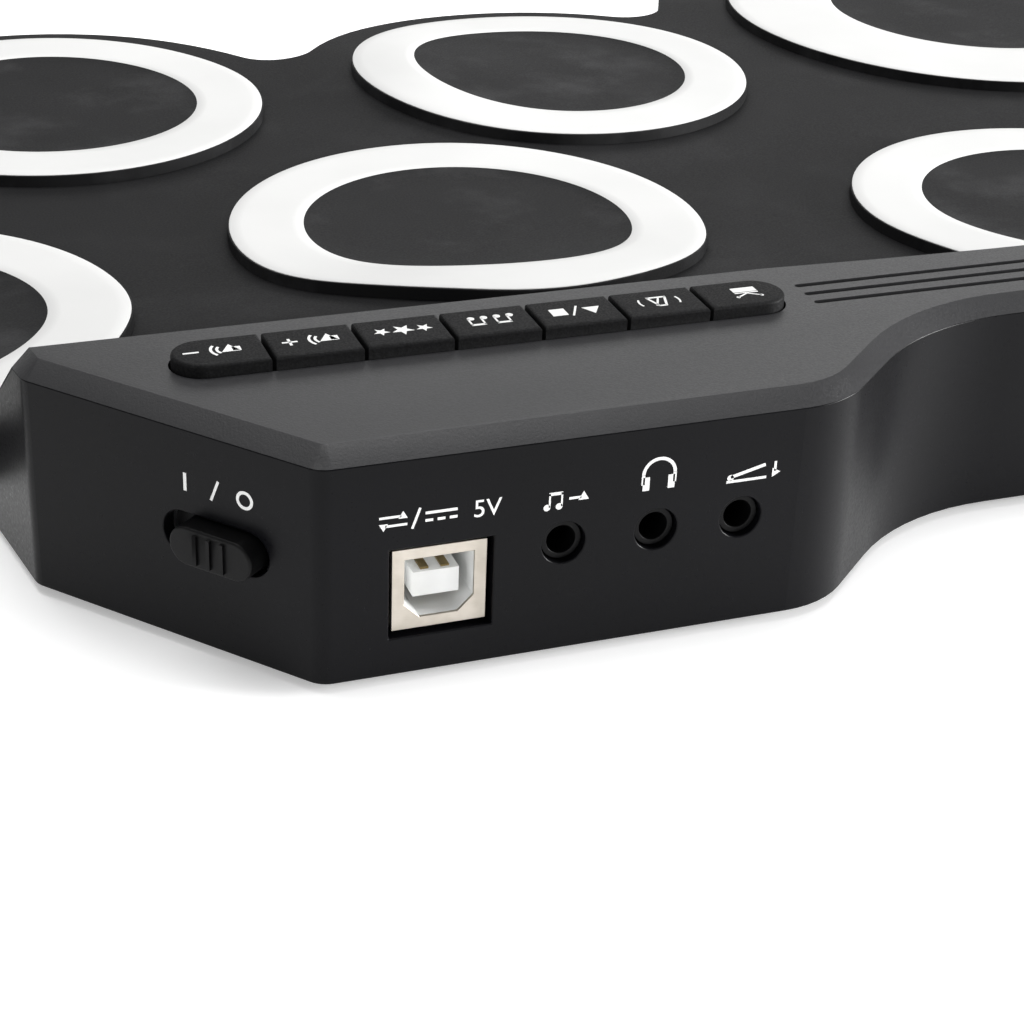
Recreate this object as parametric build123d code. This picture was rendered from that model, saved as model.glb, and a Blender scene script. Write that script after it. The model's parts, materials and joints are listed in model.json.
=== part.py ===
# Electronic drum pad: a soft roll-up mat of seven striking pads with a rigid
# control console along its rear edge.
#
# Frame: +X is the player's right, +Y points to the rear (the socket side), +Z up.
# The origin is under the middle of the whole object, on the surface it lies on.
import math
import os

from build123d import *

os.makedirs("parts", exist_ok=True)

# ---- driving dimensions, millimetres -------------------------------------------------
# Depths are measured forward from the console's rear face.
MAT_DEPTH = 304.0            # rear face of the console to the front of the mat
PAD_MARGIN = 11.5            # mat left round a ring's outer edge
BIG_PAD_MARGIN = 16.0
FOOT_HEIGHT = 1.2

# console envelope
CONSOLE_HEIGHT = 29.9        # underside to the flat top
TOP_DEPTH = 36.9             # rear face to the front edge of the flat top
TOE_DEPTH = 66.7             # rear face to the front toe
SLOPE_ANGLE = 42.0           # front slope, from the horizontal
FRONT_BOW = 1.7              # how far the front edge bows back in the middle
BOW_HALF = 54.0              # half the length of that bow
CORNER_X = 124.9             # where the rear face meets the angled switch face
SWITCH_FACE_ANGLE = 50.0     # switch face, from the rear face
SWITCH_FACE_LENGTH = 42.4
SIDE_FLARE = 9.0             # the ends open out a little toward the player
WAIST_CUT = 18.6             # the middle of the rear face is set forward by this
SHOULDER_X = 65.5            # where the straight rear face of a wing ends
SHOULDER_ANGLE = 42.0
SHOULDER_RADIUS = 14.0
WAIST_RADIUS = 34.0
CORNER_ROUND = 3.2
WALL = 2.0
FLOOR = 2.0
LID = 2.0                    # lid plate, also the depth of its bevelled edge
BEVEL = 2.4                  # width in plan of the bevel round the lid
LIP = 1.2                    # locating lip under the lid
LIP_DROP = 1.8
FIT = 0.15                   # clearance between parts that locate each other

# mat layers
SKIN_BOTTOM = 0.85
FILM = 0.15                  # each of the three sensor films
SKIN_TOP = 0.8
TAB_DEPTH = 54.0             # the mat reaches back under the toe to this depth
TAB_HALF = 150.0
FILM_INSET = 9.0
TAIL_X = 84.0                # flexible tail of the sensor films
TAIL_WIDTH = 20.0
TAIL_DEPTH = 42.0

# pads: name, x, depth, ring outer radius
RING_OUTER = 41.0
BIG_RING_OUTER = 56.0
PADS = [
    ("crash", -166.0, 122.0, RING_OUTER),
    ("tom_high", -49.0, 112.5, RING_OUTER),
    ("tom_mid", 62.5, 130.0, RING_OUTER),
    ("ride", 166.0, 113.0, RING_OUTER),
    ("snare", -95.5, 231.5, BIG_RING_OUTER),
    ("tom_low", 17.5, 209.0, RING_OUTER),
    ("hihat", 120.5, 212.0, RING_OUTER),
]
RING_SHARE = 0.69            # ring inner radius over outer radius
BIG_RING_SHARE = 0.57
PAD_RIM = 0.3                # black rim outside the ring
PAD_HEIGHT = 2.2
RING_THICK = 0.6
PAD_ROUND = 0.2
SENSOR_SHARE = 0.62          # conductive patch radius over ring outer radius
SENSOR_THICK = 0.1

# keys
KEY_NAMES = ["kit", "click", "play_stop", "demo", "special", "volume_up", "volume_down"]
KEY_ROW_X = 95.8             # middle of the key row
KEY_ROW_DEPTH = 26.6
KEY_ROW_LENGTH = 79.4
KEY_ROW_WIDTH = 7.6
KEY_PITCH = 11.28
KEY_GAP = 0.5
KEY_PROUD = 1.6
KEY_TRAVEL = 1.0
KEY_FLANGE = 0.9             # flange under the lid that keeps the keys in
KEY_CLEAR = 0.3

# speaker slots
SLOT_HALF = 52.3
SLOT_WIDTH = 1.0
SLOT_DEPTHS = [24.6, 27.4, 30.2]

# rear sockets, heights above the surface
SOCKET_X = 110.5
SOCKET_Z = 11.95
SOCKET_WIDTH = 11.5
SOCKET_HEIGHT = 10.6
SOCKET_LENGTH = 10.8         # steel shell, without the moulding behind it
SOCKET_RECESS = 0.8          # the socket's front stands this far inside the wall
SOCKET_GAP = 0.55            # round the socket in the wall's opening
SOCKET_MOUTH = (8.45, 7.78)
SOCKET_TONGUE = (5.6, 3.18)
JACKS = [("audio_in", 95.6), ("headphone", 83.9), ("pedal", 72.9)]
JACK_Z = 15.6
JACK_HOLE = 5.4
JACK_BORE = 3.6
JACK_NOSE_RECESS = 0.9
JACK_LENGTH = 13.0
JACK_BODY = 5.0

# slide switch on the angled face, distances along that face from its rear corner
SWITCH_ALONG = 13.6
SWITCH_Z = 15.6
SWITCH_SLOT = 15.0
SWITCH_SLOT_HEIGHT = 5.6
KNOB_LENGTH = 11.6
KNOB_HEIGHT = 5.0
KNOB_PROUD = 2.5
SWITCH_TRAVEL = 2.4
SWITCH_OFFSET = 1.0          # middle of the slot, past the knob's rest place

# boards
BOARD = 1.6
MAIN_BOARD_TOP = 19.8
KEY_BOARD_TOP = 24.2
BOARD_POST_R = 2.0
BOARD_SCREW_R = 1.0
BOARD_SCREW_BITE = 2.6
MAIN_SCREWS = [(66.0, 9.0), (119.6, 9.0), (68.6, 40.4), (99.4, 40.4)]
KEY_SCREWS = [(58.5, 19.4), (130.5, 19.4), (58.5, 34.1), (130.5, 34.1)]

# mat clamp under the toe
CLAMP_THICK = 1.1
CLAMP_SCREWS = [(x, 59.5) for x in (-130.0, -65.0, 0.0, 65.0, 130.0)]
CLAMP_SCREW_R = 0.9
CLAMP_SCREW_BITE = 3.0

# feet, speakers, cell
FEET = [(s * x, d) for s in (1, -1) for x, d in ((14.0, 24.2), (72.0, 9.0), (128.0, 14.0))]
FOOT_R = 5.0
SPEAKER_X = 29.0
SPEAKER_SIZE = (40.0, 12.0)
SPEAKER_DEPTH = 28.4
SPEAKER_HEIGHT = 6.0
CLOTH = 0.3
CELL = (48.0, 32.0, 5.8)
CELL_X = -98.0
CELL_DEPTH = 21.0
CELL_RIB = 1.2               # ribs on the floor that hold the cell at its two ends
CELL_RIB_HALF = 6.0
CELL_RIB_HEIGHT = 5.0
CELL_RIB_GAP = 1.0           # cell's end to the middle of a rib

# main board plan, and the four sizes that the boards' edges follow
MAIN_BOARD_X = (62.0, 123.0)
MAIN_BOARD_FRONT = 35.0
BOARD_MARGIN = 2.6           # board left round a screw

# under the main board: chips by x, depth and thickness, and two upright capacitors
CHIPS = [(76, 92, 20, 32, 1.6), (97, 103, 22, 30, 1.5), (66, 71, 24, 32, 1.4), (105, 116, 27, 31, 3.2)]
CAPACITORS = [(66.5, 20.5), (120.0, 20.5)]
CAPACITOR_R = 2.5
CAPACITOR_LENGTH = 7.5

# ---- derived places ------------------------------------------------------------------
Y_REAR = MAT_DEPTH / 2
Z_BASE = FOOT_HEIGHT
REACH = CORNER_X + 60         # past every part of the console, for cutting tools
Z_TOP = Z_BASE + CONSOLE_HEIGHT
Z_PART = Z_TOP - LID
Z_MAT = SKIN_BOTTOM + 3 * FILM + SKIN_TOP
Z_PAD = Z_MAT + PAD_HEIGHT
SLOPE = math.radians(SLOPE_ANGLE)


def at(x, depth, z=0.0):
    """A point given by its depth in front of the console's rear face."""
    return Vector(x, Y_REAR - depth, z)


def save(shape, name):
    export_step(shape, f"parts/{name}.step")


def block(x0, x1, d0, d1, z0, z1):
    """A box between two x values, two depths and two heights."""
    middle = at((x0 + x1) / 2, (d0 + d1) / 2, (z0 + z1) / 2)
    return Pos(middle) * Box(abs(x1 - x0), abs(d1 - d0), abs(z1 - z0))


def rod(x, depth, z0, z1, radius):
    """An upright cylinder."""
    return Pos(at(x, depth, (z0 + z1) / 2)) * Cylinder(radius, z1 - z0)


def slab(face, z0, z1):
    """A flat face raised into a solid between two heights."""
    return Pos(0, 0, z0) * extrude(face, z1 - z0)


def upward(sketch):
    """The sketch's face, turned so that its normal points up."""
    face = sketch.faces()[0]
    return face if face.normal_at().Z > 0 else -face


def obround(length, width, z0, z1, x, depth):
    face = Pos(at(x, depth)) * SlotOverall(length, width)
    return slab(face, z0, z1)


# ---- console envelope ----------------------------------------------------------------
def switch_face_point(along, out=0.0):
    """x and depth of a point on the angled switch face, a distance out of it."""
    a = math.radians(SWITCH_FACE_ANGLE)
    x = CORNER_X + along * math.cos(a) + out * math.sin(a)
    depth = along * math.sin(a) - out * math.cos(a)
    return x, depth


def switch_normal():
    """The direction that the switch face looks, on the +X side."""
    a = math.radians(SWITCH_FACE_ANGLE)
    return math.sin(a), math.cos(a), 0.0


def front_edge(depth):
    """The console's front edge, bowed back in the middle, as a wire from right to left."""
    side = REACH
    middle = ThreePointArc(at(BOW_HALF, depth), at(0, depth - FRONT_BOW), at(-BOW_HALF, depth))
    return [Line(at(side, depth), at(BOW_HALF, depth)), middle, Line(at(-BOW_HALF, depth), at(-side, depth))]


def console_plan(toe_depth):
    """The console seen from above, out to a given front depth."""
    a = math.radians(SHOULDER_ANGLE)
    shoulder_end = (SHOULDER_X - SHOULDER_RADIUS * math.sin(a), SHOULDER_RADIUS * (1 - math.cos(a)))
    waist_start_depth = WAIST_CUT - WAIST_RADIUS * (1 - math.cos(a))
    waist_start_x = shoulder_end[0] - (waist_start_depth - shoulder_end[1]) / math.tan(a)
    waist_x = waist_start_x - WAIST_RADIUS * math.sin(a)
    half = a / 2
    shoulder_mid = (SHOULDER_X - SHOULDER_RADIUS * math.sin(half), SHOULDER_RADIUS * (1 - math.cos(half)))
    waist_mid = (waist_x + WAIST_RADIUS * math.sin(half), WAIST_CUT - WAIST_RADIUS * (1 - math.cos(half)))
    side_x, side_depth = switch_face_point(SWITCH_FACE_LENGTH)
    toe_x = side_x + (toe_depth - side_depth) * math.tan(math.radians(SIDE_FLARE))
    edges = []
    for s in (1, -1):
        edges += [
            Line(at(0, WAIST_CUT), at(s * waist_x, WAIST_CUT)),
            ThreePointArc(at(s * waist_x, WAIST_CUT), at(s * waist_mid[0], waist_mid[1]),
                          at(s * waist_start_x, waist_start_depth)),
            Line(at(s * waist_start_x, waist_start_depth), at(s * shoulder_end[0], shoulder_end[1])),
            ThreePointArc(at(s * shoulder_end[0], shoulder_end[1]),
                          at(s * shoulder_mid[0], shoulder_mid[1]), at(s * SHOULDER_X, 0)),
            Line(at(s * SHOULDER_X, 0), at(s * CORNER_X, 0)),
            Line(at(s * CORNER_X, 0), at(s * side_x, side_depth)),
            Line(at(s * side_x, side_depth), at(s * toe_x, toe_depth)),
            Line(at(s * toe_x, toe_depth), at(s * BOW_HALF, toe_depth)),
        ]
    edges.append(ThreePointArc(at(BOW_HALF, toe_depth), at(0, toe_depth - FRONT_BOW),
                               at(-BOW_HALF, toe_depth)))
    face = make_face(Wire(edges))
    corners = [v for v in face.vertices() if abs(abs(v.X) - CORNER_X) < 0.1 or abs(abs(v.X) - side_x) < 0.1
               or abs(abs(v.X) - toe_x) < 0.1]
    return upward(fillet(corners, CORNER_ROUND))


def inset(face, amount):
    return offset(face, amount=-amount)


def slope_cutter(drop):
    """Everything in front of the sloped face, set in by a distance square to it."""
    start = Z_TOP + 4
    depth = TOP_DEPTH - 4 / math.tan(SLOPE) - drop / math.sin(SLOPE)
    far = depth + 150
    side = REACH
    edges = front_edge(depth) + [
        Line(at(-side, depth), at(-side, far)),
        Line(at(-side, far), at(side, far)),
        Line(at(side, far), at(side, depth)),
    ]
    face = Pos(0, 0, start) * make_face(Wire(edges))
    fall = start + 10
    return extrude(face, fall / math.sin(SLOPE), dir=(0, -math.cos(SLOPE), -math.sin(SLOPE)))


PLAN = console_plan(TOE_DEPTH)
SHELL_TOE = TOE_DEPTH - 5.0   # the shell stops behind the lid's toe
SHELL_PLAN = console_plan(SHELL_TOE)
LID_CUT = slope_cutter(0)
SHELL_CUT = slope_cutter(LID)
RECESS_CLEAR = 0.2            # over the mat's rear strip
RECESS_TOP = Z_MAT + RECESS_CLEAR
RAISED_FLOOR_TOP = RECESS_TOP + FLOOR
RAISED_FLOOR_DEPTH = TAIL_DEPTH - 4.0


def lid_height(depth):
    """Height of the lid's underside at a depth."""
    bend = TOP_DEPTH - LID * math.tan(SLOPE / 2)
    return Z_PART - max(0.0, depth - bend) * math.tan(SLOPE)


# ---- case screws and their posts ---------------------------------------------------------
SCREW_R = 1.3
SCREW_HEAD_R = 2.4
SCREW_HEAD = 1.6
SCREW_TIP = 21.0
POST_R = 3.4
POST_SPLIT = 11.0            # height where the shell's post meets the lid's
POST_ROOT = 1.0              # a post starts this far inside the floor or the lid
HEAD_CLEAR = 0.3             # round a screw's head in its counterbore
CROSS = 0.3                  # half the width of a cross recess
CASE_SCREWS = [(s * x, d) for s in (1, -1) for x, d in ((143.0, 33.0), (118.0, 41.0), (50.0, 40.5), (14.0, 40.5))]


def screw_tip(depth):
    return min(SCREW_TIP, lid_height(depth + POST_R) - 1.0)


def screw(x, depth, head_z, tip_z, radius, head_radius, head):
    """A pan-head screw driven upward, with a cross recess in its head."""
    body = rod(x, depth, head_z, head_z + head, head_radius)
    body += rod(x, depth, head_z + head, tip_z, radius)
    reach = head_radius * 0.55
    body -= block(x - reach, x + reach, depth - CROSS, depth + CROSS, head_z, head_z + head / 2)
    body -= block(x - CROSS, x + CROSS, depth - reach, depth + reach, head_z, head_z + head / 2)
    return body


# ---- shapes that openings and pieces share -------------------------------------------------
def key_row_shape(grow, z0, z1):
    return obround(KEY_ROW_LENGTH + 2 * grow, KEY_ROW_WIDTH + 2 * grow, z0, z1, KEY_ROW_X, KEY_ROW_DEPTH)


def on_switch_face(along, out, z):
    """A frame on the switch face: x along it, y out of it, z up."""
    x, depth = switch_face_point(along, out)
    return Location(at(x, depth, z), (0, 0, -SWITCH_FACE_ANGLE))


def switch_bar(length, height, out0, out1, along):
    """An obround bar square to the switch face, between two distances out of it."""
    face = Rot(90, 0, 0) * SlotOverall(length, height)
    return on_switch_face(along, out0, SWITCH_Z) * extrude(face, out1 - out0, dir=(0, 1, 0))


def switch_block(length, height, out0, out1, along, dz=0.0):
    """A box square to the switch face."""
    middle = on_switch_face(along, (out0 + out1) / 2, SWITCH_Z + dz)
    return middle * Box(length, out1 - out0, height)


def rear_block(x, z, width, height, d0, d1):
    return block(x - width / 2, x + width / 2, d0, d1, z - height / 2, z + height / 2)


def rear_rod(x, z, radius, d0, d1):
    """A cylinder along the depth direction."""
    return Pos(at(x, (d0 + d1) / 2, z)) * Rot(90, 0, 0) * Cylinder(radius, d1 - d0)


# ---- lower shell ------------------------------------------------------------------------
def lower_shell():
    body = slab(SHELL_PLAN, Z_BASE, Z_PART) - SHELL_CUT
    hollow = slab(inset(SHELL_PLAN, WALL), Z_BASE + FLOOR, Z_TOP)
    hollow -= block(-REACH, REACH, RAISED_FLOOR_DEPTH, TOE_DEPTH + 5, 0, RAISED_FLOOR_TOP)
    body -= hollow
    for x, d in CASE_SCREWS:
        body += rod(x, d, Z_BASE + POST_ROOT, POST_SPLIT, POST_R)
        body -= rod(x, d, 0, Z_BASE + SCREW_HEAD + 0.2, SCREW_HEAD_R + HEAD_CLEAR)
        body -= rod(x, d, 0, POST_SPLIT, SCREW_R + 0.25)
    tail = TAIL_WIDTH / 2 + 1
    body -= block(-TAB_HALF - 1, TAB_HALF + 1, TAB_DEPTH - 1, TOE_DEPTH + 5, 0, RECESS_TOP)
    body -= block(TAIL_X - tail, TAIL_X + tail, TAIL_DEPTH - 1.5, TAB_DEPTH, 0, RECESS_TOP)
    body -= block(TAIL_X - tail, TAIL_X + tail, TAIL_DEPTH - 1.5, TAIL_DEPTH + 1.5, 0, RAISED_FLOOR_TOP)
    body -= rear_block(SOCKET_X, SOCKET_Z, SOCKET_WIDTH + 2 * SOCKET_GAP, SOCKET_HEIGHT + 2 * SOCKET_GAP,
                       -1, WALL + 0.5)
    for _, x in JACKS:
        body -= rear_rod(x, JACK_Z, JACK_HOLE / 2, -1, WALL + 0.5)
    slot_middle = SWITCH_ALONG + SWITCH_OFFSET
    body -= switch_bar(SWITCH_SLOT, SWITCH_SLOT_HEIGHT, -WALL - 1, 1, slot_middle)
    for x, d in CLAMP_SCREWS:
        body -= rod(x, d, 0, RECESS_TOP + CLAMP_SCREW_BITE, CLAMP_SCREW_R)
    for side in (-1, 1):
        x = CELL_X + side * (CELL[0] / 2 + CELL_RIB_GAP)
        body += block(x - CELL_RIB / 2, x + CELL_RIB / 2, CELL_DEPTH - CELL_RIB_HALF, CELL_DEPTH + CELL_RIB_HALF,
                      Z_BASE + 1, Z_BASE + FLOOR + CELL_RIB_HEIGHT)
    return body


# ---- lid -----------------------------------------------------------------------------------
def end_bevel(side):
    """A wedge that bevels the sloped end of the lid, on one side."""
    x0, d0 = switch_face_point(SWITCH_FACE_LENGTH)
    flare = math.tan(math.radians(SIDE_FLARE))
    run = TOE_DEPTH - TOP_DEPTH + 40
    start = TOP_DEPTH - 20
    drop = math.tan(SLOPE)
    edge_x = x0 + (start - d0) * flare
    top = Z_TOP + (TOP_DEPTH - start) * drop
    a = at(side * edge_x, start, top)
    outer = at(side * (edge_x + 3), start, top)
    inner = at(side * (edge_x - BEVEL / math.cos(math.radians(SIDE_FLARE))), start, top)
    low = at(side * edge_x, start, top - LID / math.cos(SLOPE))
    low_outer = at(side * (edge_x + 3), start, top - LID / math.cos(SLOPE))
    high = Vector(0, 0, 4)
    face = make_face(Polyline(inner, low, low_outer, outer + high, inner + high, close=True))
    along = Vector(side * flare, -1, -drop)
    return extrude(face, run * along.length, dir=along.normalized())


def lid():
    top_face = upward(inset(PLAN, BEVEL))
    bevelled = loft([Pos(0, 0, Z_PART) * PLAN, Pos(0, 0, Z_TOP) * top_face], ruled=True)
    plate = slab(PLAN, Z_MAT + 0.3, Z_PART) + bevelled
    plate -= LID_CUT
    for side in (1, -1):
        plate -= end_bevel(side)
    under = slab(console_plan(TOE_DEPTH + 20), 0, Z_PART) - SHELL_CUT
    plate -= under
    lip_zone = block(-CORNER_X - 40, CORNER_X + 40, -5, TOP_DEPTH - 4.5, Z_PART - LIP_DROP, Z_PART + 0.5)
    ring = slab(inset(PLAN, WALL + FIT), Z_PART - LIP_DROP, Z_PART + 0.5)
    ring -= slab(inset(PLAN, WALL + FIT + LIP), 0, Z_TOP)
    plate += ring & lip_zone
    for x, d in CASE_SCREWS:
        plate += rod(x, d, POST_SPLIT, Z_PART + 0.5, POST_R) - slope_cutter(LID - 0.5)
        plate -= rod(x, d, POST_SPLIT - 1, screw_tip(d), SCREW_R)
    for places, z in ((MAIN_SCREWS, MAIN_BOARD_TOP), (KEY_SCREWS, KEY_BOARD_TOP)):
        for x, d in places:
            plate += rod(x, d, z, Z_PART + 0.5, BOARD_POST_R) - slope_cutter(LID - 0.5)
            plate -= rod(x, d, z - 1, z + BOARD_SCREW_BITE, BOARD_SCREW_R)
    plate -= key_row_shape(KEY_CLEAR, Z_PART - 1, Z_TOP + 1)
    for d in SLOT_DEPTHS:
        plate -= obround(2 * SLOT_HALF, SLOT_WIDTH, Z_PART - 1, Z_TOP + 1, 0, d)
    return plate


# ---- keys and their board --------------------------------------------------------------
KEYS = len(KEY_NAMES)
KEY_END = 5.0                # the two end keys' zones run this far past the row
KEY_STEM_R = 2.0
DOME_GAP = 0.1
SHEET = 0.6
DOME_TOP = KEY_BOARD_TOP + 1.1
KEY_STEM_BOTTOM = DOME_TOP + KEY_TRAVEL + DOME_GAP
KEY_FLANGE_TOP = Z_PART - 0.2
KEY_ROUND = 0.45


def key_span(index):
    """The left and right ends of a key, with half a gap taken off where keys meet."""
    inner = [(i - KEYS / 2) * KEY_PITCH for i in range(1, KEYS)]
    edges = [-KEY_ROW_LENGTH / 2] + inner + [KEY_ROW_LENGTH / 2]
    left = edges[index] + (KEY_GAP / 2 if index > 0 else -KEY_END)
    right = edges[index + 1] - (KEY_GAP / 2 if index < KEYS - 1 else -KEY_END)
    return KEY_ROW_X + left, KEY_ROW_X + right


def key(index):
    left, right = key_span(index)
    zone = block(left, right, 0, 60, 0, 60)
    top = Z_TOP + KEY_PROUD
    cap = key_row_shape(0, KEY_FLANGE_TOP - 0.2, top) & zone
    cap = fillet(cap.faces().sort_by(Axis.Z)[-1].edges(), KEY_ROUND)
    flange = key_row_shape(0.9, KEY_FLANGE_TOP - KEY_FLANGE, KEY_FLANGE_TOP) & zone
    x = key_middle(index)
    return cap + flange + rod(x, KEY_ROW_DEPTH, KEY_STEM_BOTTOM, KEY_FLANGE_TOP, KEY_STEM_R)


def key_middle(index):
    left, right = key_span(index)
    if index == 0:
        left += KEY_END
    if index == KEYS - 1:
        right -= KEY_END
    return (left + right) / 2


def key_contact_sheet():
    x0, x1 = key_middle(0) - 3.4, key_middle(KEYS - 1) + 3.0
    sheet = block(x0, x1, KEY_SCREWS[0][1] + 2.6, KEY_SCREWS[2][1] - 2.6, KEY_BOARD_TOP, KEY_BOARD_TOP + SHEET)
    for i in range(KEYS):
        sheet += rod(key_middle(i), KEY_ROW_DEPTH, KEY_BOARD_TOP, DOME_TOP, KEY_STEM_R + 0.6)
    return sheet


def key_board():
    x0, x1 = KEY_SCREWS[0][0] - 3.4, KEY_SCREWS[1][0] + 3.0
    board = block(x0, x1, KEY_SCREWS[0][1] - 2.4, KEY_SCREWS[2][1] + 2.1, KEY_BOARD_TOP - BOARD, KEY_BOARD_TOP)
    for x, d in KEY_SCREWS:
        board -= rod(x, d, 0, 40, BOARD_SCREW_R + 0.2)
    return board


# ---- main board and what it carries ------------------------------------------------------
BOARD_UNDER = MAIN_BOARD_TOP - BOARD
TAIL_THICK = 0.3
CONNECTOR = 2.6
SOCKET_SHEET = 0.4           # thickness of the socket's steel shell


def main_board():
    rear = WALL + LIP + FIT + 0.6
    board = block(*MAIN_BOARD_X, rear, MAIN_BOARD_FRONT, BOARD_UNDER, MAIN_BOARD_TOP)
    board += block(MAIN_SCREWS[2][0] - BOARD_MARGIN, MAIN_SCREWS[3][0] + BOARD_MARGIN, MAIN_BOARD_FRONT - 1,
                   TAIL_DEPTH + 1.4, BOARD_UNDER, MAIN_BOARD_TOP)
    for x, d in MAIN_SCREWS:
        board -= rod(x, d, 0, 40, BOARD_SCREW_R + 0.2)
    return board


def board_components():
    """Sound chip, amplifier, memory, crystal and two upright capacitors under the board."""
    chips = [block(x0, x1, d0, d1, BOARD_UNDER - h, BOARD_UNDER) for x0, x1, d0, d1, h in CHIPS]
    for x, d in CAPACITORS:
        chips.append(rod(x, d, BOARD_UNDER - CAPACITOR_LENGTH, BOARD_UNDER, CAPACITOR_R))
    return Compound(children=chips)


def tail_connector():
    half = TAIL_WIDTH / 2 + 1
    body = block(TAIL_X - half, TAIL_X + half, TAIL_DEPTH - CONNECTOR / 2, TAIL_DEPTH + CONNECTOR / 2,
                 BOARD_UNDER - CONNECTOR, BOARD_UNDER)
    slot = TAIL_WIDTH / 2 - 1 + 0.1
    return body - block(TAIL_X - slot, TAIL_X + slot, TAIL_DEPTH - TAIL_THICK / 2 - 0.05,
                        TAIL_DEPTH + TAIL_THICK / 2 + 0.05, 0, BOARD_UNDER - 0.5)


def sensor_tail():
    """Printed cable that rises from the mat's sensor film to the main board."""
    half = TAIL_WIDTH / 2 - 1
    return block(TAIL_X - half, TAIL_X + half, TAIL_DEPTH - TAIL_THICK / 2, TAIL_DEPTH + TAIL_THICK / 2,
                 Z_FILM + FILM, BOARD_UNDER - 0.6)


def board_screws(places, board_bottom):
    return Compound(children=[screw(x, d, board_bottom - 1.2, board_bottom + BOARD + BOARD_SCREW_BITE - 0.2,
                                    BOARD_SCREW_R - 0.02, 1.8, 1.2) for x, d in places])


# ---- rear socket, jacks and switch ---------------------------------------------------------
TONGUE_FRONT = 2.1
TONGUE_Z = 11.7
MOULDING_END = 15.8
MOUTH_CUT = 1.9
CONTACT_PITCH = 2.5
CONTACT_WIDTH = 1.0
CONTACT_THICK = 0.25


def mouth(width, height, d0, d1, cut):
    """A square-shaped opening whose two lower corners are cut off."""
    w, h = width / 2, height / 2
    points = [(-w, h), (w, h), (w, cut - h), (w - cut, -h), (cut - w, -h), (-w, cut - h)]
    ring = Polyline(*[at(SOCKET_X + x, d0, SOCKET_Z + z) for x, z in points], close=True)
    return extrude(make_face(ring), d1 - d0, dir=(0, -1, 0))


def socket_shell():
    front = SOCKET_RECESS
    body = rear_block(SOCKET_X, SOCKET_Z, SOCKET_WIDTH, SOCKET_HEIGHT, front, front + SOCKET_LENGTH)
    body -= mouth(*SOCKET_MOUTH, front - 1, front + 2, MOUTH_CUT)
    inside = 2 * SOCKET_SHEET
    return body - rear_block(SOCKET_X, SOCKET_Z, SOCKET_WIDTH - inside, SOCKET_HEIGHT - inside,
                             front + SOCKET_SHEET, front + SOCKET_LENGTH + 1)


def socket_insert():
    """Moulded insulator: a lining behind the mouth, the tongue, and a block up to the board."""
    front = SOCKET_RECESS + SOCKET_SHEET
    back = SOCKET_RECESS + SOCKET_LENGTH
    inside = 2 * SOCKET_SHEET + 0.1
    body = rear_block(SOCKET_X, SOCKET_Z, SOCKET_WIDTH - inside, SOCKET_HEIGHT - inside, front, MOULDING_END)
    body -= mouth(*SOCKET_MOUTH, front - 1, back - 1.2, MOUTH_CUT)
    body += rear_block(SOCKET_X, TONGUE_Z, *SOCKET_TONGUE, TONGUE_FRONT, back)
    return body + block(SOCKET_X - 4.5, SOCKET_X + 4.5, back + 0.1, MOULDING_END, SOCKET_Z, BOARD_UNDER)


def socket_contacts():
    """Two sprung contacts on top of the tongue and two under it."""
    strips = []
    for x in (SOCKET_X - CONTACT_PITCH / 2, SOCKET_X + CONTACT_PITCH / 2):
        for z in (TONGUE_Z + SOCKET_TONGUE[1] / 2, TONGUE_Z - SOCKET_TONGUE[1] / 2 - CONTACT_THICK):
            strips.append(block(x - CONTACT_WIDTH / 2, x + CONTACT_WIDTH / 2, TONGUE_FRONT + 0.5,
                                SOCKET_RECESS + SOCKET_LENGTH - 1.3, z, z + CONTACT_THICK))
    return Compound(children=strips)


def jack(x):
    """A 3.5 mm jack socket: a block under the board with a round nose in the wall's hole."""
    body = rear_block(x, JACK_Z, JACK_BODY + 0.8, JACK_BODY, WALL + 0.1, JACK_NOSE_RECESS + JACK_LENGTH)
    body += rear_rod(x, JACK_Z, JACK_HOLE / 2 - 0.15, JACK_NOSE_RECESS, WALL + 1)
    body -= rear_rod(x, JACK_Z, JACK_BORE / 2, 0, JACK_NOSE_RECESS + JACK_LENGTH - 1)
    return body


SWITCH_BODY = (15.0, 6.2, 5.4)      # length, height, depth behind the wall
BRACKET = 0.5
BRACKET_LENGTH = 24.0
NECK = (3.0, 2.4)
KNOB_ROUND = 0.35
RIB_WIDTH = 0.5
RIB_PITCH = 1.9
RIB_PROUD = 0.35
RIVET_R = 0.8
RIVET_SPREAD = 9.8


def rivet_rod(side, radius, out0, out1):
    """A cylinder square to the switch face at one of its two rivets."""
    along = SWITCH_ALONG + SWITCH_TRAVEL / 2 + side * RIVET_SPREAD
    return on_switch_face(along, (out0 + out1) / 2, SWITCH_Z) * (Rot(90, 0, 0) * Cylinder(radius, out1 - out0))


def switch_bracket():
    middle = SWITCH_ALONG + SWITCH_TRAVEL / 2
    plate = switch_block(BRACKET_LENGTH, SWITCH_BODY[1], -WALL - BRACKET, -WALL, middle)
    for side in (-1, 1):
        plate -= rivet_rod(side, RIVET_R, -WALL - 1, 0)
    return plate - switch_bar(SWITCH_SLOT, SWITCH_SLOT_HEIGHT, -WALL - 1, -WALL + 1, SWITCH_ALONG + SWITCH_OFFSET)


def switch_body():
    length, height, deep = SWITCH_BODY
    middle = SWITCH_ALONG + SWITCH_TRAVEL / 2
    front = -WALL - BRACKET
    body = switch_block(length, height, front - deep, front, middle)
    slot = NECK[0] + SWITCH_TRAVEL + 1.0
    return body - switch_block(slot, NECK[1] + 0.6, front - 2.6, front + 1, middle)


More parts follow.
